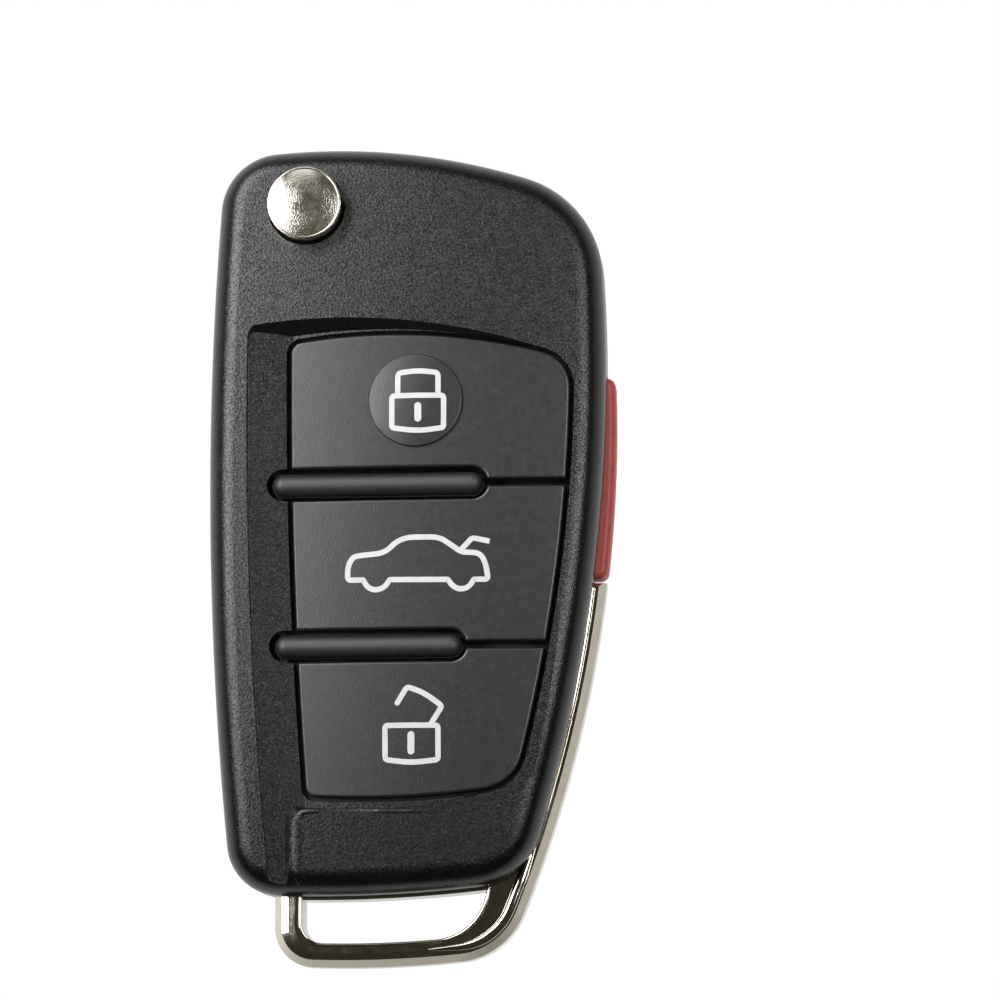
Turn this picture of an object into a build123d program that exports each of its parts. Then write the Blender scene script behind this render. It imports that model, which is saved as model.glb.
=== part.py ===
import os
from math import atan, degrees

from build123d import *

# Keyless entry remote with a folding key blade, lying on its back.
# Millimetres. X runs to the panic button side, Y to the blade pivot end, Z out of the front.

# Body outline: four large arcs, each as (x, y, radius), and four corner radii
body_left = (377.13, 9.95, 397.37)
body_top = (-8.47, -23.13, 64.07)
body_right = (-144.13, 18.36, 163.33)
body_bottom = (-9.07, 107.45, 141.3)
body_corners = (6.1, 11.0, 7.4, 5.3)      # top left, top right, bottom right, bottom left

# Heights of the case
parting_z = 8.0
crown_z = 15.4                            # highest point of the front face
crown_radius = 500.0
crown_centre = (-1.0, 3.0)
front_edge_radius = 2.7
back_edge_radius = 2.2
side_draft = 0.6                          # how much narrower the back is than the parting line
skin = 1.5                                # thickness of the back skin and the outer walls
ceiling_z = 12.6                          # underside of the front face
fit_gap = 0.15                            # between parts that are put together
seam_gap = 0.22                           # between the battery cover and the rear shell

# Keypad window, keys and ribs
window_left = (567.7, 21.0, 580.18)
window_top = (-2.4, -39.4, 61.4)
window_right = (-141.7, 18.4, 157.9)
window_bottom = (-4.4, 63.2, 88.05)
window_corners = (1.6, 4.1, 4.9, 1.4)
key_middle = (0.0, -1.0)
key_bow = 240.0                           # radius of the key tops from left to right
key_gap = 0.45
key_proud = 0.35                          # key tops above the floor of the recess
key_edge = 0.25
key_travel = 0.5
flange_reach = 0.6                        # key flange under the edge of the window
flange_thickness = 0.7
flange_z = 11.7
plunger_radius = 1.5
dome_centre = (0.47, 14.82)               # round pad on the lock key
dome_radius = 4.65
dome_step = 0.3                           # height of its rim over the key
dome_bow = 70.0                           # radius of its top
dome_edge = 0.12
rib_width = 2.3
rib_proud = 0.55
rib_gap = 0.45
rib_trim = 0.03                           # bar radius below half the wall's width
upper_rib = (6.55, -13.86, 7.2)           # each rib as (y, left end, right end)
lower_rib = (-9.5, -13.53, 5.1)
rib_rows = (upper_rib, lower_rib)
slit_width = 0.7                          # slit between the keys past the end of a rib

# Recess round the keypad: its floor is the crown, lowered and tilted
recess_left = (520.47, 17.58, 536.84)
recess_top = (-8.6, -51.0, 74.3)
recess_bottom = (-6.5, 26.8, 52.85)
recess_tilt = 17.0                        # sideways shift of the crown's centre
recess_drop = 0.25
left_step = 0.3                           # step along the left edge
left_slope = 0.135                        # and the slope from it to the keys
ramp_run = 1.8                            # ramp width for each millimetre of depth, above the keys
step_run = 0.5                            # the same for the steep edges
ramp_height = 6.0                         # height of the bodies that cut the ramps
recess_level = 14.95                      # height at which the recess arcs hold
recess_corner = 0.8
pad_left = -11.5                          # left edge of the raised pad below the keypad
pad_top = -24.9
pad_corner = 0.8

# Rubber mat under the keys
mat_z = 10.65
mat_thickness = 0.5
rim_start = 0.75
rim_width = 0.7

# Panic button on the right edge
panic_low = -2.4
panic_high = 17.8
panic_base_z = 6.1
panic_top_z = 9.9
panic_travel = 0.5
panic_flange = 0.9                        # flange past the upper end of the button
panic_flange_low = 0.3                    # and past its lower end
panic_flange_rise = 0.45                  # and above and below it
panic_flange_thickness = 0.7
panic_corner = 0.9
panic_round = 0.7                         # rounding of the button's outer rims
panic_switch_x = 14.3                     # tip of the panic switch
panic_switch_tip = (0.7, 0.9, 0.4, 1.5)   # length, half width and heights over the board
press_gap = 0.05                          # left between a pressed key and its switch

# Metal frame: rail on the right edge and key ring loop at the bottom
rail_arc = (-112.8, 13.3, 132.88)
bar_arc = (-6.6, 69.44, 110.2)
frame_left = -13.78
frame_corners = (7.4, 3.9)                # outer corners, right and left
frame_base_z = 5.9
frame_top_z = 10.1
frame_chamfer = 0.72
rail_width = 3.1
bar_width = 2.35
leg_width = 2.75
crossbar_show = 0.3                       # crossbar in front of the end of the body
crossbar_inside = 2.6
hole_right = 7.2
hole_corners = (5.4, 2.0)
web_depth = 0.35                          # hollow in the corner of the frame
web_border = (2.8, 0.85, 1.0)             # and the borders it leaves at the rail, hole and body
web_left = 1.5
rail_end = -2.85
rail_end_chamfer = 0.4
frame_gap = 0.06

# Blade, hub and flip button on the pivot
pivot = (-10.58, 34.67)
hub_radius = 4.9
hub_base_z = 5.6
hub_top_z = 10.4
hub_bore = 3.0
bearing_gap = 0.05
arm_inner = -1.1                          # arm sides and end, measured from the pivot
arm_length = 13.0
arm_corner = 1.2
blade_width = 7.0
blade_thickness = 3.0
blade_reach = 57.0
tang_start = 4.4
blade_groove_width = 2.0
blade_groove_depth = 0.7
blade_tip = 3.0
blade_tip_half = 1.0
pin_radius = 0.8
pin_distance = 9.0
boss_top_z = 7.2
boss_bore = 2.3
swing_gap = 0.2
slot_gap = 0.3
cap_radius = 3.65
cap_gap = 0.25
cap_base_z = 12.4
cap_edge_z = 16.4
cap_crown = 0.4
stem_radius = 2.85
stem_base_z = 8.9
spring_seat_z = 1.8
spring_wire = 0.4
spring_radius = 1.75
spring_turns = 6

# Battery cover, cell, board and what stands on it
cover_left_inset = 4.0
cover_top = (-1.0, -127.7, 150.0)
cover_corner = 2.5
rim_top_z = 2.4
deck_z = 5.3
deck_thickness = 0.8
cavity_left = -10.4
cavity_inset = 3.6
cavity_top = 25.0
bay_top = 20.7                            # upper end of the battery bay
cell_radius = 10.0
cell_thickness = 3.2
cell_centre = (1.7, -12.0)
cell_gap = 0.25
cup_wall = 0.9
board_thickness = 1.0
switch_size = 4.4
switch_height = 1.8
switch_button = 0.9
board_top_z = deck_z + deck_thickness + board_thickness
cell_z = deck_z - fit_gap - cell_thickness
cup_gap = 0.3                             # below the cup round the cell
cell_step = 0.35                          # chamfer and step on the cell
cell_step_width = 1.1
middle_window = (2.2, 3.2)                # half sizes of the contact's window in the deck
edge_window = (3.2, 1.6, 1.5)             # half width, reach in and reach out past the cell
pad_radii = (5.0, 4.0)                    # ring on the cover that holds the cell up
pad_gap = 0.05
tongue_height = 2.2
tongue_half = 3.0
tongue_thickness = 1.05
switch_chamfer = 0.4
switch_button_radius = 1.1
sheet_metal = 0.3                         # thickness of the battery clips
clip_half = 1.2                           # half width of the negative clip's tab
clip_foot_half = 1.8
clip_reach = (2.9, 1.5)                   # its tab, each way from the cell's centre
side_clip_half = 2.8
side_clip_thickness = 0.35
side_clip_foot = (1.2, 1.1)               # its foot, inwards and outwards from the cell's edge
far = 60.0                                # reach of the cutting bodies


def disc(arc, grow=0.0):
    x, y, radius = arc
    return Pos(x, y) * Circle(radius + grow)


def panel(arcs, corners, grow=0.0):
    # A face inside four arcs, with its corners rounded
    face = disc(arcs[0], grow)
    for arc in arcs[1:]:
        face &= disc(arc, grow)
    directions = ((-1, 1), (1, 1), (1, -1), (-1, -1))
    for (across, along), radius in zip(directions, corners):
        corner = max(face.vertices(), key=lambda v: across * v.X + along * v.Y)
        if radius + grow > 0.2:
            face = fillet(corner, radius + grow)
    return face


def prism(face, low, high):
    return Pos(0, 0, low) * extrude(face, high - low)


def block(x0, x1, y0, y1, z0, z1):
    centre = Pos((x0 + x1) / 2, (y0 + y1) / 2, (z0 + z1) / 2)
    return centre * Box(x1 - x0, y1 - y0, z1 - z0)


def tube_at(point, radius, low, high):
    return Pos(point[0], point[1], (low + high) / 2) * Cylinder(radius, high - low)


def body_face(grow=0.0):
    return panel((body_left, body_top, body_right, body_bottom), body_corners, grow)


def window_face(grow=0.0):
    return panel((window_left, window_top, window_right, window_bottom), window_corners, grow)


def crown(lift=0.0, tilt=0.0):
    x, y = crown_centre
    return Pos(x + tilt, y, crown_z + lift - crown_radius) * Sphere(crown_radius)


def crown_height(x, y):
    # Height of the front face at a point
    dx = x - crown_centre[0]
    dy = y - crown_centre[1]
    return crown_z - crown_radius + (crown_radius ** 2 - dx ** 2 - dy ** 2) ** 0.5


def floor_height(x, y):
    # Height of the recess floor at a point
    return crown_height(x - recess_tilt, y) - recess_drop


def key_height(x, y):
    # Height of the key tops at a point: as the recess floor, but bowed more from left to right
    middle_x, middle_y = key_middle
    bow = (x - middle_x) ** 2 / 2 * (1 / key_bow - 1 / crown_radius)
    return floor_height(x, y) + key_proud - bow


def key_crown():
    # A ring whose tube bows the key tops from left to right, and its length from end to end
    middle_x, middle_y = key_middle
    ring = crown_radius - key_bow
    across = (crown_centre[0] + recess_tilt - middle_x) / crown_radius * key_bow
    along = crown_centre[1] - middle_y
    reach = ((ring + (key_bow ** 2 - across ** 2) ** 0.5) ** 2 - along ** 2) ** 0.5
    top = floor_height(middle_x, middle_y) + key_proud
    return Pos(middle_x + across, crown_centre[1], top - reach) * Rot(0, 90, 0) * Torus(ring, key_bow)


def ramp_cone(arc, run):
    # A cone whose wall leans out by run for each millimetre of height
    x, y, radius = arc
    half = ramp_height / 2
    return Pos(x, y, recess_level) * Cone(radius - run * half, radius + run * half, ramp_height)


def edges_at(shape, level, tolerance=0.05):
    return [e for e in shape.edges() if abs(e.bounding_box().min.Z - level) < tolerance
            and abs(e.bounding_box().max.Z - level) < tolerance]


# Case

def rear_body():
    solid = loft([body_face(-side_draft), Pos(0, 0, parting_z) * body_face()], ruled=True)
    return fillet(edges_at(solid, 0), back_edge_radius)


def front_body():
    solid = prism(body_face(), parting_z, crown_z + 1) & crown()
    top_edges = [e for e in solid.edges() if e.bounding_box().min.Z > parting_z + 3]
    return fillet(top_edges, front_edge_radius)


def left_ramp():
    # A sphere that leaves the crown along the left arc of the recess and falls by left_slope
    centre_x, y, arc_radius = recess_left
    x = centre_x - arc_radius
    radius = 1 / (1 / crown_radius - left_slope / arc_radius)
    across = ((x - crown_centre[0]) / crown_radius + left_slope) * radius
    along = (y - crown_centre[1]) / crown_radius * radius
    drop = (radius ** 2 - across ** 2 - along ** 2) ** 0.5
    return Pos(x - across, y - along, crown_height(x, y) - left_step - drop) * Sphere(radius)


def pad_side():
    # Everything left of the pad's sloping side, below the keypad
    tilt = degrees(atan(step_run))
    reach = block(-far, 0, -far, ramp_height, -ramp_height, ramp_height)
    return Pos(pad_left, pad_top, recess_level) * Rot(0, tilt, 0) * reach


def tall_edge(shape, across, along):
    # The upright edge furthest out in one direction
    tall = [e for e in shape.edges() if e.bounding_box().size.Z > ramp_height / 2]
    return max(tall, key=lambda e: across * e.center().X + along * e.center().Y)


def recess_tool():
    half = ramp_height / 2
    outline = prism(disc(recess_left), recess_level - half, recess_level + half)
    outline &= ramp_cone(recess_top, ramp_run)
    outline = fillet(tall_edge(outline, -1, 1), recess_corner)
    keypad = outline & ramp_cone(recess_bottom, step_run)
    tool = keypad + (outline & pad_side())
    inner = min(tool.edges(), key=lambda e: abs(e.center().X - pad_left) + abs(e.center().Y - pad_top))
    return fillet(inner, pad_corner) - crown(-recess_drop, recess_tilt) - left_ramp()


def separator(row, height, slit, low, high):
    # Space round one rib and the slit past its end
    y, start, right = row
    left = start - (height - rib_width) / 2
    end = right + (height - rib_width) / 2
    centre = Pos((left + end) / 2, y)
    face = centre * SlotOverall(end - left, height)
    if slit:
        face += Pos((right + far) / 2, y) * Rectangle(far - right, slit)
    return prism(face, low, high)


def swing_space():
    # Room for the hub, its arm and the blade over their half turn
    x, y = pivot
    outer = arm_inner - blade_width
    low = hub_base_z - swing_gap
    high = hub_top_z + swing_gap
    space = tube_at(pivot, hub_radius + swing_gap, low, high)
    space += block(-far, x + arm_inner + swing_gap, y - arm_length - swing_gap, far, low, high)
    space += block(-far, x - outer + swing_gap, y - swing_gap, far, low, high)
    middle = (hub_base_z + hub_top_z) / 2
    half = blade_thickness / 2 + slot_gap
    slot = block(-far, x + arm_inner + slot_gap, y - blade_reach - 3 * slot_gap, y,
                 middle - half, middle + half)
    return space + slot


def cavity_face(top, grow=0.0):
    # Room for the board, or for the battery under it
    face = disc(body_right, grow - cavity_inset) & disc(body_bottom, grow - cavity_inset)
    x0 = cavity_left - grow
    y1 = top + grow
    return face & (Pos(x0 + far / 2, y1 - far / 2) * Rectangle(far, far))


def panic_pocket():
    # Slot through the right wall and the room for the flange behind it
    slot = block(panic_switch_x, far, panic_low - fit_gap, panic_high + fit_gap,
                 panic_base_z - fit_gap, panic_top_z + fit_gap)
    face = disc(body_right, -skin) - disc(body_right, -cavity_inset - panic_travel)
    face &= panic_span(panic_flange_low + fit_gap, panic_flange + fit_gap)
    rise = panic_flange_rise + fit_gap
    return slot + prism(face, panic_base_z - rise, panic_top_z + rise)


def panic_span(below, above):
    # Strip across the right edge along the panic button
    y0 = panic_low - below
    y1 = panic_high + above
    return Pos(10 + far / 2, (y0 + y1) / 2) * Rectangle(far, y1 - y0)


def cover_face(grow=0.0):
    x, y, radius = body_left
    face = disc((x, y, radius - cover_left_inset), grow) & disc(cover_top, grow)
    corner = max(face.vertices(), key=lambda v: v.Y - v.X)
    return fillet(corner, cover_corner + grow)


def cover_space(gap):
    # What the battery cover takes out of the rear shell, grown by a gap
    face = cover_face(gap)
    flat = prism(face, -1, skin + gap)
    rim = prism(face, -1, rim_top_z + gap) - prism(body_face(-skin - gap), -2, far)
    return flat + rim


def front_shell(frame_space):
    shell = front_body() - recess_tool()
    shell -= prism(window_face(), ceiling_z - 1, crown_z + 1)
    for row in rib_rows:
        shell -= separator(row, rib_width + 2 * rib_gap, 0, ceiling_z - 1, crown_z + 1)
    mat_room = window_face(rim_start + rim_width + fit_gap)
    shell -= prism(cavity_face(cavity_top), 0, ceiling_z)
    shell -= prism(mat_room, mat_z - fit_gap / 3, ceiling_z)
    for row in rib_rows:
        shell -= separator(row, rib_width + 2 * rib_gap + 1, 0, mat_z - fit_gap / 3, ceiling_z)
    shell -= swing_space()
    shell -= panic_pocket()
    shell -= frame_space
    shell -= tube_at(pivot, cap_radius + cap_gap, hub_top_z, crown_z + 1)
    return shell


def rear_shell(frame_space):
    shell = rear_body() - cover_space(seam_gap)
    under_deck = prism(cavity_face(bay_top), -1, deck_z)
    over_deck = prism(cavity_face(cavity_top), deck_z + deck_thickness, far)
    cup = tube_at(cell_centre, cell_radius + cell_gap + cup_wall, skin + seam_gap + cup_gap, deck_z)
    cup -= tube_at(cell_centre, cell_radius + cell_gap, 0, deck_z)
    shell = shell - under_deck - over_deck + cup
    shell -= contact_windows()
    shell -= swing_space()
    boss = tube_at(pivot, hub_bore - bearing_gap, skin, boss_top_z)
    shell += boss
    shell -= tube_at(pivot, boss_bore, spring_seat_z, boss_top_z + 1)
    shell -= panic_pocket()
    shell -= frame_space
    return shell


def contact_windows():
    # Windows in the deck for the two battery contacts
    x, y = cell_centre
    side = y + cell_radius + cell_gap
    top = deck_z + deck_thickness + 1
    half, length = middle_window
    middle = block(x - half, x + half, y - length, y + length, deck_z - 1, top)
    half, inwards, outwards = edge_window
    return middle + block(x - half, x + half, side - inwards, side + outwards, cell_z + 1, top)


def battery_cover():
    cover = rear_body() & (prism(cover_face(), -1, skin) + prism(cover_face(), -1, rim_top_z))
    cover -= prism(body_face(-skin), skin, far)
    x, y = cell_centre
    ring = tube_at(cell_centre, pad_radii[0], skin, cell_z - pad_gap)
    ring -= tube_at(cell_centre, pad_radii[1], 0, far)
    high = bay_top - fit_gap
    low = body_bottom[1] - body_bottom[2] + cavity_inset + 0.5
    across = body_bottom[0] + tongue_half
    top = skin + tongue_height
    tongues = block(x - tongue_half, x + tongue_half, high - tongue_thickness, high, skin, top)
    tongues += block(across, across + 2 * tongue_half, low, low + tongue_thickness, skin, top)
    return cover + ring + tongues


# Metal frame

def frame_hole(grow=0.0):
    x0 = frame_left + leg_width - grow
    x1 = hole_right + grow
    face = disc(bar_arc, grow - bar_width)
    face &= Pos((x0 + x1) / 2, -far / 2) * Rectangle(x1 - x0, far)
    right = max(face.vertices(), key=lambda v: v.X - v.Y)
    face = fillet(right, hole_corners[0] + grow)
    left = min(face.vertices(), key=lambda v: v.X + v.Y)
    face = fillet(left, hole_corners[1] + grow)
    return face - disc(body_bottom, crossbar_show - grow)


def frame_outer(grow=0.0):
    # The outer outline, up past the end of the rail
    x0 = frame_left - grow
    face = disc(rail_arc, grow) & disc(bar_arc, grow)
    face &= Pos(x0 + far / 2, rail_end + rail_width - far / 2) * Rectangle(far, far)
    right = max(face.vertices(), key=lambda v: v.X * 0.5 - v.Y)
    face = fillet(right, frame_corners[0] + grow)
    left = min(face.vertices(), key=lambda v: v.X + v.Y)
    return fillet(left, frame_corners[1] + grow)


def frame_inside(grow=0.0):
    # What the frame leaves open: the case, the key ring hole and the room past the rail's end
    case = disc(rail_arc, grow - rail_width) & disc(body_bottom, grow - crossbar_inside)
    past = Pos(0, rail_end - grow + far / 2) * Rectangle(2 * far, far)
    return case + frame_hole(grow) + past


def metal_frame():
    frame = prism(frame_outer(), frame_base_z, frame_top_z)
    frame = chamfer(edges_at(frame, frame_base_z) + edges_at(frame, frame_top_z), frame_chamfer)
    frame -= prism(frame_inside(), frame_base_z - 1, frame_top_z + 1)
    shoulder = rail_end_chamfer * 2 ** 0.5
    frame -= Pos(0, rail_end, frame_top_z) * Rot(45, 0, 0) * Box(2 * far, shoulder, shoulder)
    web = frame_outer(-web_border[0]) - frame_hole(web_border[1]) - disc(body_bottom, web_border[2])
    web &= Pos(far / 2 + web_left, -far / 2) * Rectangle(far, far)
    frame -= prism(web, frame_top_z - web_depth, frame_top_z + 1)
    return frame - prism(web, frame_base_z - 1, frame_base_z + web_depth)


# Keys and mat

def key_solids():
    # The three keys, from the pivot end down
    cap = prism(window_face(-key_gap), flange_z, crown_z + 1) & key_crown()
    flange = prism(window_face(flange_reach), flange_z, flange_z + flange_thickness)
    for row in rib_rows:
        cap -= separator(row, rib_width + 2 * rib_gap, slit_width, flange_z - 1, crown_z + 2)
        flange -= separator(row, rib_width + 2 * rib_gap, slit_width, flange_z - 1, crown_z + 2)
    rim = [e for e in cap.edges() if e.bounding_box().min.Z > ceiling_z]
    cap = fillet(rim, key_edge) + dome()
    caps = sorted(cap.solids(), key=lambda s: -s.center().Y)
    flanges = sorted(flange.solids(), key=lambda s: -s.center().Y)
    keys = []
    for top, base, point in zip(caps, flanges, switch_points()):
        plunger = tube_at(point, plunger_radius, switch_top() + key_travel + press_gap, flange_z + 0.1)
        keys.append(top + base + plunger)
    return keys


def dome():
    # A round pad that is tilted with the key under it and bowed more
    x, y = dome_centre
    tilt_x = (key_height(x + dome_radius, y) - key_height(x - dome_radius, y)) / (2 * dome_radius)
    tilt_y = (key_height(x, y + dome_radius) - key_height(x, y - dome_radius)) / (2 * dome_radius)
    middle_z = key_height(x, y) + dome_step - (dome_bow ** 2 - dome_radius ** 2) ** 0.5
    ball = Pos(x + tilt_x * dome_bow, y + tilt_y * dome_bow, middle_z) * Sphere(dome_bow)
    pad = tube_at(dome_centre, dome_radius, flange_z + flange_thickness, crown_z + 2) & ball
    rim = [e for e in pad.edges() if e.bounding_box().min.Z > key_height(x, y) - dome_step]
    return fillet(rim, dome_edge)


def switch_points():
    return (dome_centre, (0.3, -1.4), (-1.3, -17.6))


def switch_top():
    return board_top_z + switch_height + switch_button


def keypad_mat():
    outer = window_face(rim_start + rim_width)
    sheet = prism(outer, mat_z, mat_z + mat_thickness)
    rim = prism(outer, mat_z, ceiling_z) - prism(window_face(rim_start), mat_z - 1, ceiling_z + 1)
    mat = sheet + rim
    for row in rib_rows:
        mat += rib(row)
    for point in switch_points():
        mat -= tube_at(point, plunger_radius + 0.3, 0, far)
    return mat


def rib(row):
    # A wall on the mat with a round bar along its top, level with the tilted keys
    y, left, right = row
    radius = rib_width / 2 - rib_trim
    ends = [Vector(x, y, floor_height(x, y) + rib_proud - radius)
            for x in (left + rib_width / 2, right - rib_width / 2)]
    along = ends[1] - ends[0]
    middle = Plane(origin=(ends[0] + ends[1]) / 2, z_dir=along)
    bar = middle * Cylinder(radius, along.length)
    for end in ends:
        bar += Pos(*end) * Sphere(radius)
    return separator(row, rib_width, 0, mat_z, ends[0].Z) + bar


def panic_button():
    inner = skin + fit_gap + panic_flange_thickness
    outside = body_right[0] + body_right[2] - panic_flange_thickness
    face = (disc(rail_arc) - disc(body_right, -inner)) & panic_span(0, 0)
    button = prism(face, panic_base_z, panic_top_z)
    corners = [e for e in button.edges().filter_by(Axis.Z) if e.center().X > outside]
    button = fillet(corners, panic_corner)
    rim = [e for e in button.edges() if e.bounding_box().min.X > outside
           and (abs(e.center().Z - panic_top_z) < 0.01 or abs(e.center().Z - panic_base_z) < 0.01)]
    button = fillet(rim, panic_round)
    flange = disc(body_right, -skin - fit_gap) - disc(body_right, -inner)
    flange &= panic_span(panic_flange_low, panic_flange)
    button += prism(flange, panic_base_z - panic_flange_rise, panic_top_z + panic_flange_rise)
    middle = (panic_low + panic_high) / 2
    low, high = panic_switch_tip[2:]
    nub = block(panic_switch_x + panic_travel + press_gap, outside - skin, middle - 1, middle + 1,
                board_top_z + low - press_gap, board_top_z + high + press_gap)
    return button + nub


# Folding key

def blade_hub():
    x, y = pivot
    outer = x + arm_inner - blade_width
    hub = tube_at(pivot, hub_radius, hub_base_z, hub_top_z)
    arm = block(outer, x + arm_inner, y - arm_length, y, hub_base_z, hub_top_z)
    hub += fillet(arm.edges().filter_by(Axis.Z).sort_by(Axis.X)[:2], arm_corner)
    middle = (hub_base_z + hub_top_z) / 2
    half = blade_thickness / 2
    hub -= block(outer - 1, x + arm_inner + 1, y - arm_length - 1, y - tang_start, middle - half, middle + half)
    hub -= tube_at(pivot, hub_bore, 0, far)
    return hub - tube_at(pin_point(), pin_radius, 0, far)


def pin_point():
    return (pivot[0] + arm_inner - blade_width / 2, pivot[1] - pin_distance)


def key_blade():
    x, y = pivot
    middle = (hub_base_z + hub_top_z) / 2
    left = x + arm_inner - blade_width
    right = x + arm_inner
    centre = (left + right) / 2
    tip = y - blade_reach
    outline = Polyline((left, y - tang_start), (right, y - tang_start), (right, tip + blade_tip),
                       (centre + blade_tip_half, tip), (centre - blade_tip_half, tip),
                       (left, tip + blade_tip), close=True)
    blade = prism(make_face(outline), middle - blade_thickness / 2, middle + blade_thickness / 2)
    half = blade_groove_width / 2
    for low, high in ((middle - far, middle - blade_thickness / 2 + blade_groove_depth),
                      (middle + blade_thickness / 2 - blade_groove_depth, middle + far)):
        blade -= block(centre - half, centre + half, tip - 1, y - arm_length - 2, low, high)
    return blade - tube_at(pin_point(), pin_radius, 0, far)


def flip_button():
    dome = (cap_radius ** 2 + cap_crown ** 2) / (2 * cap_crown)
    x, y = pivot
    cap = tube_at(pivot, cap_radius, cap_base_z, cap_edge_z + cap_crown)
    cap &= Pos(x, y, cap_edge_z + cap_crown - dome) * Sphere(dome)
    return cap + tube_at(pivot, stem_radius, stem_base_z, cap_base_z)


def flip_spring():
    rise = stem_base_z - spring_seat_z - 2 * spring_wire
    path = Helix(rise / spring_turns, rise, spring_radius)
    start = path.position_at(0)
    wire = Plane(origin=start, z_dir=path.tangent_at(0)) * RegularPolygon(spring_wire / 2, 6)
    coil = sweep(wire, path=path, is_frenet=True)
    return Pos(pivot[0], pivot[1], spring_seat_z + spring_wire) * coil


# Electronics

def circuit_board():
    return prism(cavity_face(cavity_top, -0.2), board_top_z - board_thickness, board_top_z)


def push_switch(point):
    x, y = point
    half = switch_size / 2
    top = board_top_z + switch_height
    body = block(x - half, x + half, y - half, y + half, board_top_z, top)
    body = chamfer(body.edges().filter_by(Axis.Z), switch_chamfer)
    return body + tube_at(point, switch_button_radius, top, top + switch_button)


def panic_switch():
    middle = (panic_low + panic_high) / 2
    tip, half, low, high = panic_switch_tip
    face = panic_switch_x - tip
    side = switch_size / 2
    body = block(face - side, face, middle - side, middle + side, board_top_z, board_top_z + switch_height)
    return body + block(face - 0.1, panic_switch_x, middle - half, middle + half,
                        board_top_z + low, board_top_z + high)


def coin_cell():
    can = tube_at(cell_centre, cell_radius, cell_z, cell_z + cell_thickness)
    can = chamfer(edges_at(can, cell_z), cell_step)
    step = tube_at(cell_centre, cell_radius + 1, cell_z + cell_thickness - cell_step, far)
    return can - (step - tube_at(cell_centre, cell_radius - cell_step_width, 0, far))


def clip_foot(half, start, end):
    # Foot of a battery clip, flat on the underside of the board
    x = cell_centre[0]
    top = board_top_z - board_thickness
    return block(x - half, x + half, start, end, top - sheet_metal, top)


def battery_clip_negative():
    x, y = cell_centre
    below, above = clip_reach
    low = cell_z + cell_thickness
    start = y - below
    leg = block(x - clip_half, x + clip_half, start, start + sheet_metal, low, board_top_z - board_thickness)
    tab = block(x - clip_half, x + clip_half, start, y + above, low, low + sheet_metal)
    return clip_foot(clip_foot_half, start, y + below) + leg + tab


def battery_clip_positive():
    x, y = cell_centre
    edge = y + cell_radius + pad_gap
    inwards, outwards = side_clip_foot
    leg = block(x - side_clip_half, x + side_clip_half, edge, edge + side_clip_thickness,
                cell_z + 1.2, board_top_z - board_thickness)
    return clip_foot(side_clip_half, edge - inwards, edge + outwards) + leg


def chip(x, y, width, length, height, edge):
    body = block(x - width / 2, x + width / 2, y - length / 2, y + length / 2,
                 board_top_z, board_top_z + height)
    return chamfer(edges_at(body, board_top_z + height), edge)


def write(shape, name):
    export_step(shape, "parts/" + name + ".step")


def main():
    os.makedirs("parts", exist_ok=True)
    frame_space = prism(frame_outer(frame_gap) - frame_inside(-frame_gap),
                        frame_base_z - frame_gap, frame_top_z + frame_gap)
    write(front_shell(frame_space), "front_shell")
    write(rear_shell(frame_space), "rear_shell")
    write(metal_frame(), "metal_frame")
    write(battery_cover(), "battery_cover")
    for name, key in zip(("lock_key", "boot_key", "unlock_key"), key_solids()):
        write(key, name)
    write(keypad_mat(), "keypad_mat")
    write(panic_button(), "panic_button")
    write(blade_hub(), "blade_hub")
    write(key_blade(), "key_blade")
    write(tube_at(pin_point(), pin_radius, hub_base_z, hub_top_z), "blade_pin")
    write(flip_button(), "flip_button")
    write(flip_spring(), "flip_spring")
    write(circuit_board(), "circuit_board")
    for name, point in zip(("lock_switch", "boot_switch", "unlock_switch"), switch_points()):
        write(push_switch(point), name)
    write(panic_switch(), "panic_switch")
    write(coin_cell(), "coin_cell")
    write(battery_clip_negative(), "battery_clip_negative")
    write(battery_clip_positive(), "battery_clip_positive")
    write(chip(6.6, -8.0, 7.0, 7.0, 1.2, 0.3), "control_chip")
    write(chip(7.4, -18.0, 2.4, 6.0, 1.3, 0.4), "crystal")
    write(chip(-5.2, 21.4, 6.0, 3.2, 2.4, 0.4), "transponder")


main()
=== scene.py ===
import math

import bpy
from mathutils import Matrix, Vector
from mathutils.bvhtree import BVHTree


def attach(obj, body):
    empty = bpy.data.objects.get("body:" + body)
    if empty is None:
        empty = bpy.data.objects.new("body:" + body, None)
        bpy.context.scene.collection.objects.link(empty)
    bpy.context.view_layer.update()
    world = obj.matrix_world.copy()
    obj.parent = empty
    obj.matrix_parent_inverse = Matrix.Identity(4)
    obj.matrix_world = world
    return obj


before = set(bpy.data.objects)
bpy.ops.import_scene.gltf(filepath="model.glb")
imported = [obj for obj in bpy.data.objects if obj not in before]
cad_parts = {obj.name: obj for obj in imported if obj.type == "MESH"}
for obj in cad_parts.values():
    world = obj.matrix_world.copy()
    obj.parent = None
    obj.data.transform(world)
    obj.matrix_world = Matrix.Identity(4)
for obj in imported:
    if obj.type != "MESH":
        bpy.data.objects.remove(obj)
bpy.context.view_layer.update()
scene = bpy.context.scene
mm = 0.001
print("frame loaded:", len(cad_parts), "nodes")


# Camera: a little below the middle and to the right, looking down on the remote
camera = {
    "target": Vector((8.355, 5.835, 8.0)) * mm,
    "tiltRight": math.radians(4.0),
    "tiltDown": math.radians(8.5),
    "distance": 0.45,
    "fieldWidth": 0.1,
    "sensor": 36.0,
    "clip": (0.01, 10.0),
}


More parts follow.
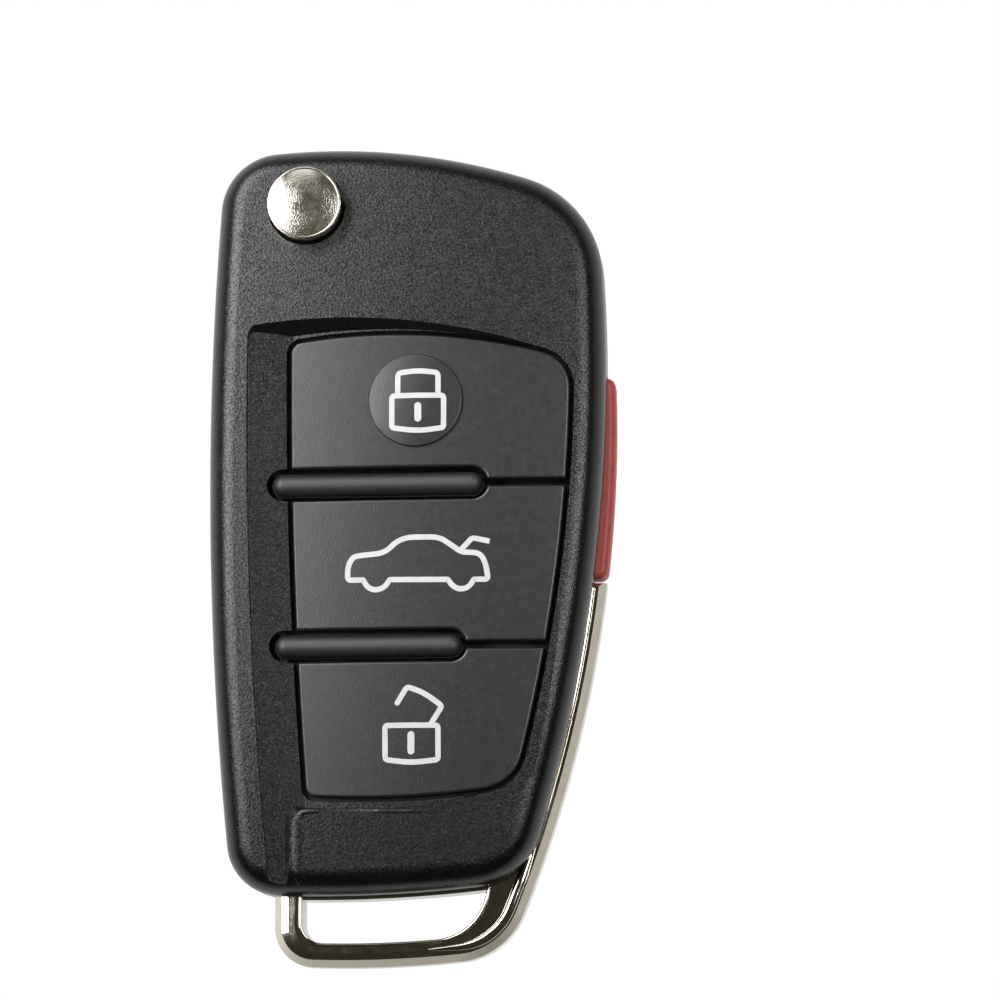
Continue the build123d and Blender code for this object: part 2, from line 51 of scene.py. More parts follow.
def makeCamera():
    back = Vector((math.tan(camera["tiltRight"]), -math.tan(camera["tiltDown"]), 1.0)).normalized()
    right = Vector((0, 1, 0)).cross(back).normalized()
    up = back.cross(right)
    data = bpy.data.cameras.new("studioCamera")
    data.sensor_width = camera["sensor"]
    data.lens = camera["sensor"] * camera["distance"] / camera["fieldWidth"]
    data.clip_start, data.clip_end = camera["clip"]
    body = bpy.data.objects.new("studioCamera", data)
    scene.collection.objects.link(body)
    turn = Matrix((right, up, back)).transposed().to_4x4()
    body.matrix_world = Matrix.Translation(camera["target"] + back * camera["distance"]) @ turn
    scene.camera = body


# Studio: white floor and backdrop, a dark ceiling and three soft boxes
studio = {
    "floorSize": 3.0,
    "floorLevel": -0.00002,          # just clear of the back
    "floorColour": (0.8, 0.8, 0.8, 1),
    "floorMirrored": 0.6,            # share of plain white that shows in metal
    "horizon": (0.62, 0.61, 0.58, 1),
    "ceiling": (0.038, 0.034, 0.026, 1),
    "horizonTo": 0.12,               # the horizon turns into the ceiling between these heights
    "ceilingFrom": 0.42,
    "nearSide": 2.5,                 # how much lower the horizon ends on the camera's side
    "boxes": (
        # name, place, width, length, power
        ("leftBox", (-0.11, 0.07, 0.16), 0.09, 0.24, 0.56),
        ("rightBox", (0.085, 0.02, 0.16), 0.03, 0.14, 0.15),
        ("topBox", (-0.03, 0.16, 0.16), 0.1, 0.05, 0.022),
    ),
}


def addNode(tree, kind, **settings):
    made = tree.nodes.new(kind)
    for name, value in settings.items():
        if name in made.inputs:
            made.inputs[name].default_value = value
        else:
            setattr(made, name, value)
    return made


def combine(tree, operation, *values):
    # A math node fed by sockets and plain numbers
    made = addNode(tree, "ShaderNodeMath", operation=operation)
    for socket, value in zip(made.inputs, values):
        if isinstance(value, bpy.types.NodeSocket):
            tree.links.new(value, socket)
        else:
            socket.default_value = value
    return made.outputs[0]


def remap(tree, value, source, target):
    # Maps one range of a value onto another
    made = addNode(tree, "ShaderNodeMapRange")
    for field, number in zip(("From Min", "From Max", "To Min", "To Max"), (*source, *target)):
        made.inputs[field].default_value = number
    tree.links.new(value, made.inputs["Value"])
    return made.outputs["Result"]


def colourRamp(tree, value, *ends):
    ramp = addNode(tree, "ShaderNodeValToRGB")
    for element, (position, colour) in zip(ramp.color_ramp.elements, ends):
        element.position = position
        element.color = colour
    tree.links.new(value, ramp.inputs[0])
    return ramp.outputs[0]


def mixShaders(tree, share, first, second):
    made = addNode(tree, "ShaderNodeMixShader")
    for i, socket in enumerate((share, first.outputs[0], second.outputs[0])):
        tree.links.new(socket, made.inputs[i])
    return made


def makeFloor():
    half, level = studio["floorSize"] / 2, studio["floorLevel"]
    corners = [(x * half, y * half, level) for x, y in ((-1, -1), (1, -1), (1, 1), (-1, 1))]
    mesh = bpy.data.meshes.new("studioFloor")
    mesh.from_pydata(corners, [], [(0, 1, 2, 3)])
    floor = bpy.data.objects.new("studioFloor", mesh)
    scene.collection.objects.link(floor)
    material = bpy.data.materials.new("paleFloor")
    material.use_nodes = True
    tree = material.node_tree
    tree.nodes.clear()
    diffuse = addNode(tree, "ShaderNodeBsdfDiffuse", Color=studio["floorColour"])
    white = addNode(tree, "ShaderNodeEmission", Color=(1, 1, 1, 1), Strength=1.0)
    rays = addNode(tree, "ShaderNodeLightPath")
    seen = combine(tree, "MAXIMUM", rays.outputs["Is Glossy Ray"],
                   rays.outputs["Is Transmission Ray"])
    mirrored = combine(tree, "MULTIPLY", seen, studio["floorMirrored"])
    share = combine(tree, "MAXIMUM", rays.outputs["Is Camera Ray"], mirrored)
    above = mixShaders(tree, share, diffuse, white)
    # From below the floor is clear, so that the back can be looked at
    side = addNode(tree, "ShaderNodeNewGeometry")
    clear = addNode(tree, "ShaderNodeBsdfTransparent")
    either = mixShaders(tree, side.outputs["Backfacing"], above, clear)
    out = addNode(tree, "ShaderNodeOutputMaterial")
    tree.links.new(either.outputs[0], out.inputs["Surface"])
    mesh.materials.append(material)


def makeSky():
    world = bpy.data.worlds.new("studioSky")
    scene.world = world
    world.use_nodes = True
    tree = world.node_tree
    tree.nodes.clear()
    place = addNode(tree, "ShaderNodeTexCoord")
    axes = addNode(tree, "ShaderNodeSeparateXYZ")
    tree.links.new(place.outputs["Generated"], axes.inputs[0])
    near = combine(tree, "MULTIPLY_ADD", axes.outputs["Y"], -studio["nearSide"], 1.0)
    steep = combine(tree, "MAXIMUM", near, 1.0)
    level = combine(tree, "MULTIPLY", axes.outputs["Z"], steep)
    colour = colourRamp(tree, level, (studio["horizonTo"], studio["horizon"]),
                        (studio["ceilingFrom"], studio["ceiling"]))
    sky = addNode(tree, "ShaderNodeBackground", Strength=1.0)
    tree.links.new(colour, sky.inputs["Color"])
    plain = addNode(tree, "ShaderNodeBackground", Color=(1, 1, 1, 1), Strength=1.0)
    rays = addNode(tree, "ShaderNodeLightPath")
    mix = mixShaders(tree, rays.outputs["Is Camera Ray"], sky, plain)
    out = addNode(tree, "ShaderNodeOutputWorld")
    tree.links.new(mix.outputs[0], out.inputs["Surface"])


def makeBoxes():
    for name, place, width, length, power in studio["boxes"]:
        data = bpy.data.lights.new(name, "AREA")
        data.shape = "RECTANGLE"
        data.size = width
        data.size_y = length
        data.energy = power
        lamp = bpy.data.objects.new(name, data)
        away = Vector(place).normalized()
        side = Vector((0, 1, 0)).cross(away).normalized()
        turn = Matrix((side, away.cross(side), away)).transposed().to_4x4()
        lamp.matrix_world = Matrix.Translation(place) @ turn
        scene.collection.objects.link(lamp)


makeCamera()
makeFloor()
makeSky()
makeBoxes()
scene.view_settings.view_transform = "Standard"
print("studio ready")


# Materials
patternRange = (0.3, 0.7)            # the part of a noise that is spread over a whole range


def newMaterial(name, colour, roughness, metallic=0.0):
    material = bpy.data.materials.new(name)
    material.use_nodes = True
    tree = material.node_tree
    shader = tree.nodes["Principled BSDF"]
    shader.inputs["Base Color"].default_value = (*colour, 1)
    shader.inputs["Roughness"].default_value = roughness
    shader.inputs["Metallic"].default_value = metallic
    place = addNode(tree, "ShaderNodeTexCoord")
    return material, tree, shader, place.outputs["Object"]


def noise(tree, place, scale, detail, rough):
    texture = addNode(tree, "ShaderNodeTexNoise", Scale=scale, Detail=detail, Roughness=rough)
    tree.links.new(place, texture.inputs["Vector"])
    return texture.outputs["Fac"]


def roughen(tree, shader, pattern, low, high):
    tree.links.new(remap(tree, pattern, patternRange, (low, high)), shader.inputs["Roughness"])


def bump(tree, shader, height, strength, distance):
    made = addNode(tree, "ShaderNodeBump", Strength=strength, Distance=distance)
    tree.links.new(height, made.inputs["Height"])
    tree.links.new(made.outputs["Normal"], shader.inputs["Normal"])
    return made


def tint(tree, shader, pattern, dark, light):
    low, high = patternRange
    colour = colourRamp(tree, pattern, (low, (*dark, 1)), (high, (*light, 1)))
    tree.links.new(colour, shader.inputs["Base Color"])


shellLook = {
    "grain": (4300.0, 3.0, 0.75),    # spark texture: cells per metre, detail, roughness
    "fine": (9500.0, 2.0, 0.6),
    "depth": 0.00005,
    "base": (0.012, 0.012, 0.012),
    "dark": (0.0005, 0.0005, 0.0005),
    "light": (0.005, 0.005, 0.005),
    "dull": 0.12,                    # gloss of the pits and of the grain tops
    "bright": 1.0,
    "smooth": 0.2,
    "rough": 0.3,
    "levelling": (0.78, 0.97),       # the texture grows in as a surface turns level
    "smoothEdge": 0.12,              # how much of the texture is left on the rounded edges
}


def shellPlastic():
    # Fine spark texture: glossy grain tops with dull pits, fading out on the rounded edges
    material, tree, shader, place = newMaterial("sparkTexturedShell", shellLook["base"],
                                                shellLook["rough"])
    link = tree.links.new
    grain = noise(tree, place, *shellLook["grain"])
    relief = bump(tree, shader, grain, 1.0, shellLook["depth"])
    coord = addNode(tree, "ShaderNodeTexCoord")
    axes = addNode(tree, "ShaderNodeSeparateXYZ")
    link(coord.outputs["Normal"], axes.inputs[0])
    level = combine(tree, "ABSOLUTE", axes.outputs["Z"])
    mask = remap(tree, level, shellLook["levelling"], (shellLook["smoothEdge"], 1.0))
    link(mask, relief.inputs["Strength"])
    sparkle = remap(tree, grain, patternRange, (shellLook["dull"], shellLook["bright"]))
    gloss = addNode(tree, "ShaderNodeMix", data_type="FLOAT")     # mixes inputs 2 and 3
    gloss.inputs[2].default_value = (shellLook["dull"] + shellLook["bright"]) / 2
    link(mask, gloss.inputs[0])
    link(sparkle, gloss.inputs[3])
    link(gloss.outputs[0], shader.inputs["Specular IOR Level"])
    tint(tree, shader, grain, shellLook["dark"], shellLook["light"])
    fine = noise(tree, place, *shellLook["fine"])
    roughen(tree, shader, fine, shellLook["smooth"], shellLook["rough"])
    return material


def awayFrom(tree, place, centre):
    # Distance from a point, seen from above
    flat = addNode(tree, "ShaderNodeVectorMath", operation="MULTIPLY")
    flat.inputs[1].default_value = (1, 1, 0)
    away = addNode(tree, "ShaderNodeVectorMath", operation="DISTANCE")
    away.inputs[1].default_value = centre
    tree.links.new(place, flat.inputs[0])
    tree.links.new(flat.outputs[0], away.inputs[0])
    return away.outputs["Value"]


def tip(tree, height, relief):
    # Tips the surface under a bump by a height in metres
    made = addNode(tree, "ShaderNodeBump", Strength=1.0, Distance=1.0)
    tree.links.new(height, made.inputs["Height"])
    tree.links.new(made.outputs["Normal"], relief.inputs["Normal"])


rubberLook = {
    "base": 0.5,                     # roughness until the cloud takes it over
    "cloud": (1300.0, 6.0, 0.75),
    "dust": (5200.0, 3.0, 0.6),
    "strength": 0.8,
    "depth": 0.00002,
    "padCentre": (0.00047, 0.01482, 0),
    "padRadius": 0.0046,
    "padBow": 0.075,                 # radius that shading adds to the bow of the round pad
}


def satinRubber(name, dark, light, low, high, gloss, domed=False):
    material, tree, shader, place = newMaterial(name, light, rubberLook["base"])
    shader.inputs["Specular IOR Level"].default_value = gloss
    cloud = noise(tree, place, *rubberLook["cloud"])
    tint(tree, shader, cloud, dark, light)
    roughen(tree, shader, cloud, low, high)
    dust = noise(tree, place, *rubberLook["dust"])
    relief = bump(tree, shader, dust, rubberLook["strength"], rubberLook["depth"])
    if domed:
        away = awayFrom(tree, place, rubberLook["padCentre"])
        within = combine(tree, "MINIMUM", away, rubberLook["padRadius"])
        square = combine(tree, "MULTIPLY", within, within)
        tip(tree, combine(tree, "MULTIPLY", square, -0.5 / rubberLook["padBow"]), relief)
    return material


nickelLook = {
    "cloud": (700.0, 5.0, 0.65),
    "fine": (5200.0, 4.0, 0.7),
    "strength": 0.12,
    "depth": 0.00001,
}
capCentre = (-10.58, 34.67)          # in millimetres
wearLook = {
    "centre": (-0.0102, 0.0342, 0),  # worn patch on the flip button
    "inner": 0.002,
    "outer": 0.004,
    "cells": 4700.0,
    "groove": 0.2,                   # share of a cell that a scratch takes
    "depth": 0.000025,
    "lean": -0.04,                   # how far shading tips the cap's top
    "twist": -11.6,                  # how that changes along the cap
}


def wearCap(tree, place, relief):
    link = tree.links.new
    marks = addNode(tree, "ShaderNodeTexVoronoi", feature="DISTANCE_TO_EDGE",
                    Scale=wearLook["cells"])
    link(place, marks.inputs["Vector"])
    groove = combine(tree, "MINIMUM", marks.outputs["Distance"], wearLook["groove"])
    away = awayFrom(tree, place, wearLook["centre"])
    wear = remap(tree, away, (wearLook["inner"], wearLook["outer"]), (1.0, 0.0))
    scratched = addNode(tree, "ShaderNodeBump", Distance=wearLook["depth"])
    link(wear, scratched.inputs["Strength"])
    link(groove, scratched.inputs["Height"])
    link(scratched.outputs["Normal"], relief.inputs["Normal"])
    local = addNode(tree, "ShaderNodeVectorMath", operation="SUBTRACT")
    local.inputs[1].default_value = Vector((*capCentre, 0)) * mm
    axes = addNode(tree, "ShaderNodeSeparateXYZ")
    link(place, local.inputs[0])
    link(local.outputs[0], axes.inputs[0])
    slope = combine(tree, "MULTIPLY_ADD", axes.outputs["Y"], wearLook["twist"], wearLook["lean"])
    tip(tree, combine(tree, "MULTIPLY", slope, axes.outputs["X"]), scratched)


def polishedNickel(name, tarnish, colour, low, high, worn=False):
    material, tree, shader, place = newMaterial(name, colour, low, 1.0)
    cloud = noise(tree, place, *nickelLook["cloud"])
    tint(tree, shader, cloud, tarnish, colour)
    roughen(tree, shader, cloud, low, high)
    fine = noise(tree, place, *nickelLook["fine"])
    relief = bump(tree, shader, fine, nickelLook["strength"], nickelLook["depth"])
    if worn:
        wearCap(tree, place, relief)
    return material


metalLook = {"lines": (900.0, 4.0, 0.6), "strength": 0.3, "depth": 0.00002}


def plainMetal(name, dark, light, low, high, grain=(1, 1, 1)):
    material, tree, shader, place = newMaterial(name, light, low, 1.0)
    mapping = addNode(tree, "ShaderNodeMapping")
    mapping.inputs["Scale"].default_value = grain
    tree.links.new(place, mapping.inputs["Vector"])
    lines = noise(tree, mapping.outputs[0], *metalLook["lines"])
    tint(tree, shader, lines, dark, light)
    roughen(tree, shader, lines, low, high)
    bump(tree, shader, lines, metalLook["strength"], metalLook["depth"])
    return material


plasticLook = {"cloud": (800.0, 3.0, 0.6), "strength": 0.15, "depth": 0.00002}


def mouldedPlastic(name, dark, light, low, high):
    material, tree, shader, place = newMaterial(name, light, low)
    cloud = noise(tree, place, *plasticLook["cloud"])
    tint(tree, shader, cloud, dark, light)
    roughen(tree, shader, cloud, low, high)
    bump(tree, shader, cloud, plasticLook["strength"], plasticLook["depth"])
    return material


keyTones = (0.01, 0.01, 0.01), (0.014, 0.014, 0.014)
# Each has a name, darker and lighter tones, lowest and highest roughness, and rubber also its gloss
materials = {
    "shell": shellPlastic(),
    "nickel": polishedNickel("warmNickel", (0.66, 0.6, 0.5), (0.76, 0.73, 0.66), 0.05, 0.14),
    "capNickel": polishedNickel("scratchedNickel", (0.7, 0.66, 0.56), (0.77, 0.74, 0.66),
                                0.14, 0.26, worn=True),
    "keyRubber": satinRubber("keyRubber", *keyTones, 0.32, 0.38, 0.78),
    "lockRubber": satinRubber("domedRubber", *keyTones, 0.32, 0.38, 0.78, domed=True),
    "matRubber": satinRubber("matRubber", (0.008, 0.008, 0.008), (0.014, 0.014, 0.014), 0.48, 0.54,
                             0.82),
    "redRubber": satinRubber("redRubber", (0.4, 0.055, 0.042), (0.52, 0.085, 0.065), 0.4, 0.5, 0.5),
    "hub": plainMetal("platedZinc", (0.3, 0.29, 0.27), (0.45, 0.44, 0.42), 0.28, 0.45),
    "blade": plainMetal("milledBlade", (0.5, 0.49, 0.46), (0.68, 0.67, 0.63), 0.18, 0.34,
                        grain=(1, 0.05, 1)),
    "pin": plainMetal("groundPin", (0.4, 0.4, 0.4), (0.55, 0.55, 0.55), 0.2, 0.35),
    "spring": plainMetal("springWire", (0.3, 0.3, 0.3), (0.45, 0.45, 0.45), 0.25, 0.4),
    "board": mouldedPlastic("solderMask", (0.012, 0.1, 0.04), (0.02, 0.16, 0.07), 0.25, 0.38),
    "cell": plainMetal("cellSteel", (0.55, 0.55, 0.54), (0.68, 0.68, 0.66), 0.22, 0.36),
    "contact": plainMetal("contactSheet", (0.6, 0.5, 0.3), (0.75, 0.66, 0.42), 0.22, 0.36),
    "chip": mouldedPlastic("mouldedEpoxy", (0.02, 0.02, 0.02), (0.04, 0.04, 0.04), 0.45, 0.6),
    "can": plainMetal("crystalCan", (0.5, 0.5, 0.5), (0.64, 0.64, 0.63), 0.2, 0.32),
    "ink": mouldedPlastic("padPrintedInk", (0.56, 0.56, 0.55), (0.62, 0.62, 0.61), 0.45, 0.6),
    "switch": mouldedPlastic("switchBody", (0.62, 0.6, 0.55), (0.74, 0.72, 0.67), 0.4, 0.55),
}

dressing = {
    "front_shell": "shell", "rear_shell": "shell", "battery_cover": "shell",
    "metal_frame": "nickel", "flip_button": "capNickel", "keypad_mat": "matRubber",
    "lock_key": "lockRubber", "boot_key": "keyRubber", "unlock_key": "keyRubber",
    "panic_button": "redRubber", "blade_hub": "hub", "key_blade": "blade", "blade_pin": "pin",
    "flip_spring": "spring", "circuit_board": "board", "coin_cell": "cell",
    "battery_clip_positive": "contact", "battery_clip_negative": "contact",
    "control_chip": "chip", "transponder": "chip", "crystal": "can",
    "lock_switch": "switch", "boot_switch": "switch",
    "unlock_switch": "switch", "panic_switch": "switch",
}
for nodeName, look in dressing.items():
    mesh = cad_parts[nodeName].data
    mesh.materials.clear()
    mesh.materials.append(materials[look])
print("materials on", len(dressing), "nodes")


# Signs printed on the keys, in millimetres
signs = {
    "line": 0.53,
    "slot": 0.68,                    # width of the key holes
    "lift": 0.012,
    "layer": 0.003,                  # each stroke lies this much over the one before
    "step": 0.25,                    # longest and shortest piece of a stroke
    "shortest": 0.01,
    "cornerSteps": 8,
    "endSteps": 6,
    "mitre": 0.7,                    # keeps a sharp corner from growing a spike
    "sideShare": 0.49,               # most of a side that one rounded corner takes
    "lock": (
        # points, how far each corner is rounded, width, ending
        (((-1.26, 15.24), (-1.26, 17.52), (0.74, 17.78), (2.74, 17.52), (2.74, 15.24)),
         (0, 0.4, 2.0, 0.4, 0), "line", "square"),
        (((-1.84, 15.24), (0.74, 15.26), (3.3, 15.22), (3.3, 12.0), (0.74, 11.68), (-1.84, 12.04)),
         (0.3, 0, 0.3, 0.3, 2.2, 0.3), "line", "closed"),
        (((0.74, 14.22), (0.75, 12.95)), (0, 0), "slot", "round"),
    ),
    "boot": (
        (((-6.18, -3.03), (-6.2, -1.75), (-5.7, -0.72), (-4.7, -0.58), (-2.55, -0.38),
          (-1.35, 0.72), (-0.35, 1.13), (1.3, 1.16), (2.85, 1.12), (3.9, 0.45), (5.05, -0.38),
          (6.9, -0.48), (7.45, -1.5), (7.7, -3.1), (6.3, -3.1), (5.85, -3.82), (5.05, -4.1),
          (4.25, -3.8), (3.72, -3.08), (-2.0, -3.03), (-2.55, -3.8), (-3.4, -4.08),
          (-4.2, -3.8), (-4.65, -3.03)),
         (0.35, 0.7, 0.9, 0.7, 0.8, 0.5, 0.6, 0.8, 0.8, 0.7, 0.4, 0.7, 0.6, 0.35,
          0.06, 0.5, 0.5, 0.5, 0.06, 0.06, 0.5, 0.5, 0.5, 0.06), "line", "closed"),
        (((4.98, -0.2), (6.13, 1.02), (7.85, 0.66)), (0, 0.3, 0), "line", "square"),
    ),
    "unlock": (
        (((-2.47, -17.38), (0.14, -17.37), (2.75, -17.4),
          (2.76, -20.75), (0.15, -21.05), (-2.46, -20.72)),
         (0.3, 0, 0.3, 0.3, 2.2, 0.3), "line", "closed"),
        (((-1.25, -15.18), (-0.3, -13.6), (1.4, -14.2), (3.15, -15.52), (2.1, -17.2)),
         (0, 0.35, 1.2, 0.3, 0), "line", "round"),
        (((0.09, -18.3), (0.09, -19.9)), (0, 0), "slot", "round"),
    ),
}
overhead = 0.1                       # height in metres from which a surface is looked down on


def topOf(node):
    # Looks straight down on a node and gives the height of its surface
    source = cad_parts[node]
    points = [source.matrix_world @ v.co for v in source.data.vertices]
    faces = [tuple(p.vertices) for p in source.data.polygons]
    tree = BVHTree.FromPolygons(points, faces)

    def height(x, y):
        hit = tree.ray_cast(Vector((x, y, overhead)), Vector((0, 0, -1)))
        return hit[0].z
    return height


def roundedPath(points, radii, closed):
    # Replaces each corner by an arc of points that starts a given length before it
    count, steps = len(points), signs["cornerSteps"]
    path = []
    for i, (point, reach) in enumerate(zip(points, radii)):
        here = Vector(point)
        if reach == 0 or (not closed and i in (0, count - 1)):
            path.append(here)
            continue
        back = Vector(points[i - 1]) - here
        ahead = Vector(points[(i + 1) % count]) - here
        start = here + back.normalized() * min(reach, back.length * signs["sideShare"])
        end = here + ahead.normalized() * min(reach, ahead.length * signs["sideShare"])
        for k in range(steps + 1):
            t = k / steps
            path.append(start * (1 - t) ** 2 + here * 2 * t * (1 - t) + end * t ** 2)
    return path


def divided(path, closed):
    # Divides the long pieces of a path and leaves out the very short ones
    fine = []
    for i in range(len(path) if closed else len(path) - 1):
        start, end = path[i], path[(i + 1) % len(path)]
        length = (end - start).length
        parts = max(1, round(length / signs["step"]))
        if length > signs["shortest"]:
            fine += [start.lerp(end, k / parts) for k in range(parts)]
    return fine if closed else fine + [path[-1]]


def roundEnd(end, along, width):
    # The two sides of a round end, from the line outwards
    along = along.normalized()
    across = Vector((-along.y, along.x))
    sides = []
    for k in range(1, signs["endSteps"] + 1):
        turn = math.pi / 2 * k / signs["endSteps"]
        out, half = math.sin(turn) * width / 2, math.cos(turn) * width / 2
        sides.append((end + along * out + across * half, end + along * out - across * half))
    return sides


def stroke(path, width, ending):
    # The two sides of a line of even width, with mitred corners; ending is closed, round or square
    closed = ending == "closed"
    count = len(path)
    sides = []
    for i in range(count):
        before = path[i] - path[i - 1] if closed or i > 0 else path[1] - path[0]
        after = path[(i + 1) % count] - path[i] if closed or i < count - 1 else before
        first = Vector((-before.y, before.x)).normalized()
        second = Vector((-after.y, after.x)).normalized()
        middle = (first + second).normalized()
        reach = width / 2 / max(middle.dot(first), signs["mitre"])
        sides.append((path[i] + middle * reach, path[i] - middle * reach))
    if ending != "round":
        return sides
    start = [(right, left) for left, right in reversed(roundEnd(path[0], path[0] - path[1], width))]
    return start + sides + roundEnd(path[-1], path[-1] - path[-2], width)


def makeSign(name, key):
    surface = topOf(key)
    points, faces = [], []
    for layer, (corners, radii, width, ending) in enumerate(signs[name]):
        closed = ending == "closed"
        lift = (signs["lift"] + signs["layer"] * layer) * mm
        path = divided(roundedPath(corners, radii, closed), closed)
        sides = stroke(path, signs[width], ending)
        first = len(points)
        for left, right in sides:
            for spot in (left, right):
                x, y = spot.x * mm, spot.y * mm
                points.append((x, y, surface(x, y) + lift))
        for i in range(len(sides) if closed else len(sides) - 1):
            a = first + 2 * i
            b = first + 2 * ((i + 1) % len(sides))
            faces.append((a, a + 1, b + 1, b))
    mesh = bpy.data.meshes.new(name + "Sign")
    mesh.from_pydata(points, [], faces)
    mesh.materials.append(materials["ink"])
    piece = bpy.data.objects.new(name + "Sign", mesh)
    scene.collection.objects.link(piece)
    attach(piece, key)
    print(piece.name, len(faces), "faces")


makeSign("lock", "lock_key")
makeSign("boot", "boot_key")
makeSign("unlock", "unlock_key")


# Thin beads along edges, in millimetres
thinnest = 0.02                      # thickness at the end of a bead that fades out
flatCorners = 4                      # a bead with so few corners is a ridge with flat sides


def beadNodes():
    # Sweeps an oval or a ridge along the edges of a mesh; the thickness attribute narrows it
    group = bpy.data.node_groups.new("beadAlongPath", "GeometryNodeTree")
    panel = group.interface
    panel.new_socket("Geometry", in_out="INPUT", socket_type="NodeSocketGeometry")
    for name in ("Width", "Height"):
        panel.new_socket(name, in_out="INPUT", socket_type="NodeSocketFloat")
    panel.new_socket("Corners", in_out="INPUT", socket_type="NodeSocketInt")
    panel.new_socket("Smooth", in_out="INPUT", socket_type="NodeSocketBool")
    panel.new_socket("Material", in_out="INPUT", socket_type="NodeSocketMaterial")
    panel.new_socket("Geometry", in_out="OUTPUT", socket_type="NodeSocketGeometry")
    start = addNode(group, "NodeGroupInput")
    line = addNode(group, "GeometryNodeMeshToCurve")
    upright = addNode(group, "GeometryNodeSetCurveNormal", mode="Z_UP")
    thin = addNode(group, "GeometryNodeInputNamedAttribute", Name="thickness")
    oval = addNode(group, "GeometryNodeCurvePrimitiveCircle", Radius=1.0)
    shape = addNode(group, "ShaderNodeCombineXYZ", Z=1.0)
    squash = addNode(group, "GeometryNodeTransform")
    sweep = addNode(group, "GeometryNodeCurveToMesh")
    sweep.inputs["Fill Caps"].default_value = True
    smooth = addNode(group, "GeometryNodeSetShadeSmooth")
    real = addNode(group, "GeometryNodeRealizeInstances")
    dress = addNode(group, "GeometryNodeSetMaterial")
    end = addNode(group, "NodeGroupOutput")
    link = group.links.new
    link(start.outputs["Geometry"], line.inputs["Mesh"])
    link(line.outputs[0], upright.inputs["Curve"])
    link(upright.outputs[0], sweep.inputs["Curve"])
    link(start.outputs["Width"], shape.inputs["X"])
    link(start.outputs["Height"], shape.inputs["Y"])
    link(shape.outputs[0], squash.inputs["Scale"])
    link(start.outputs["Corners"], oval.inputs["Resolution"])
    link(oval.outputs["Curve"], squash.inputs["Geometry"])
    link(squash.outputs[0], sweep.inputs["Profile Curve"])
    link(thin.outputs["Attribute"], sweep.inputs["Scale"])
    link(sweep.outputs[0], smooth.inputs["Geometry"])
    link(start.outputs["Smooth"], smooth.inputs["Shade Smooth"])
    link(smooth.outputs[0], real.inputs["Geometry"])
    link(real.outputs[0], dress.inputs["Geometry"])
    link(start.outputs["Material"], dress.inputs["Material"])
    link(dress.outputs[0], end.inputs["Geometry"])
    return group


beadGroup = beadNodes()


def makeBead(name, path, thickness, bead, look, rideOn, closed=False):
    mesh = bpy.data.meshes.new(name)
    count = len(path)
    edges = [(i, (i + 1) % count) for i in range(count if closed else count - 1)]
    mesh.from_pydata([Vector(point) * mm for point in path], edges, [])
    mesh.attributes.new("thickness", "FLOAT", "POINT").data.foreach_set("value", thickness)
    piece = bpy.data.objects.new(name, mesh)
    scene.collection.objects.link(piece)
    sweep = piece.modifiers.new("bead", "NODES")
    sweep.node_group = beadGroup
    values = {"Width": bead["width"] / 2 * mm, "Height": bead["height"] * mm,
              "Corners": bead["corners"], "Smooth": bead["corners"] > flatCorners,
              "Material": materials[look]}
    for item in beadGroup.interface.items_tree:
        if item.in_out == "INPUT" and item.name in values:
            sweep[item.identifier] = values[item.name]
    bpy.context.view_layer.update()
    shown = piece.evaluated_get(bpy.context.evaluated_depsgraph_get())
    swept = bpy.data.meshes.new_from_object(shown)
    piece.modifiers.clear()
    piece.data = swept
    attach(piece, rideOn)
    print(name, len(swept.polygons), "faces")


def arcPoints(centre, radius, start, end, step=0.25):
    # Points on an arc between two angles, about a step apart
    count = max(3, round(abs(end - start) * radius / step))
    angles = [start + (end - start) * i / count for i in range(count + 1)]
    return [(centre[0] + radius * math.cos(a), centre[1] + radius * math.sin(a)) for a in angles]


def angleTo(centre, point):
    return math.atan2(point[1] - centre[1], point[0] - centre[0])


def underArc(centre, distance, x):
    # The lower point at one x, at a distance from a centre
    return (x, centre[1] - math.sqrt(distance ** 2 - (x - centre[0]) ** 2))


# The metal frame's outline, which its beads follow
frameLook = {
    "top": 10.1,
    "left": (-13.78, 3.9),           # side and corner radius
    "bar": ((-6.6, 69.44), 110.2),   # centre and radius of the bar's outer side
    "right": ((-112.8, 13.3), 132.88, 7.4),      # the same for the rail, and the corner radius
    "start": -32.0,                  # where the left leg leaves the case
    "end": -3.4,                     # where the rail ends at the panic button
    "hole": (2.75, 2.35, 7.2, 2.0, 5.4),         # width of leg and bar, right side, corner radii
}


def cornerRight():
    # Centre of the frame's right corner, from the arcs of the bar and the rail
    (bx, by), barRadius = frameLook["bar"]
    (rx, ry), railRadius, corner = frameLook["right"]
    a, b = barRadius - corner, railRadius - corner
    gap = math.hypot(rx - bx, ry - by)
    along = (a * a - b * b + gap * gap) / (2 * gap)
    across = math.sqrt(a * a - along * along)
    ux, uy = (rx - bx) / gap, (ry - by) / gap
    spots = [(bx + ux * along - uy * across * side, by + uy * along + ux * across * side)
             for side in (1, -1)]
    return max(spots, key=lambda spot: spot[0] - spot[1])


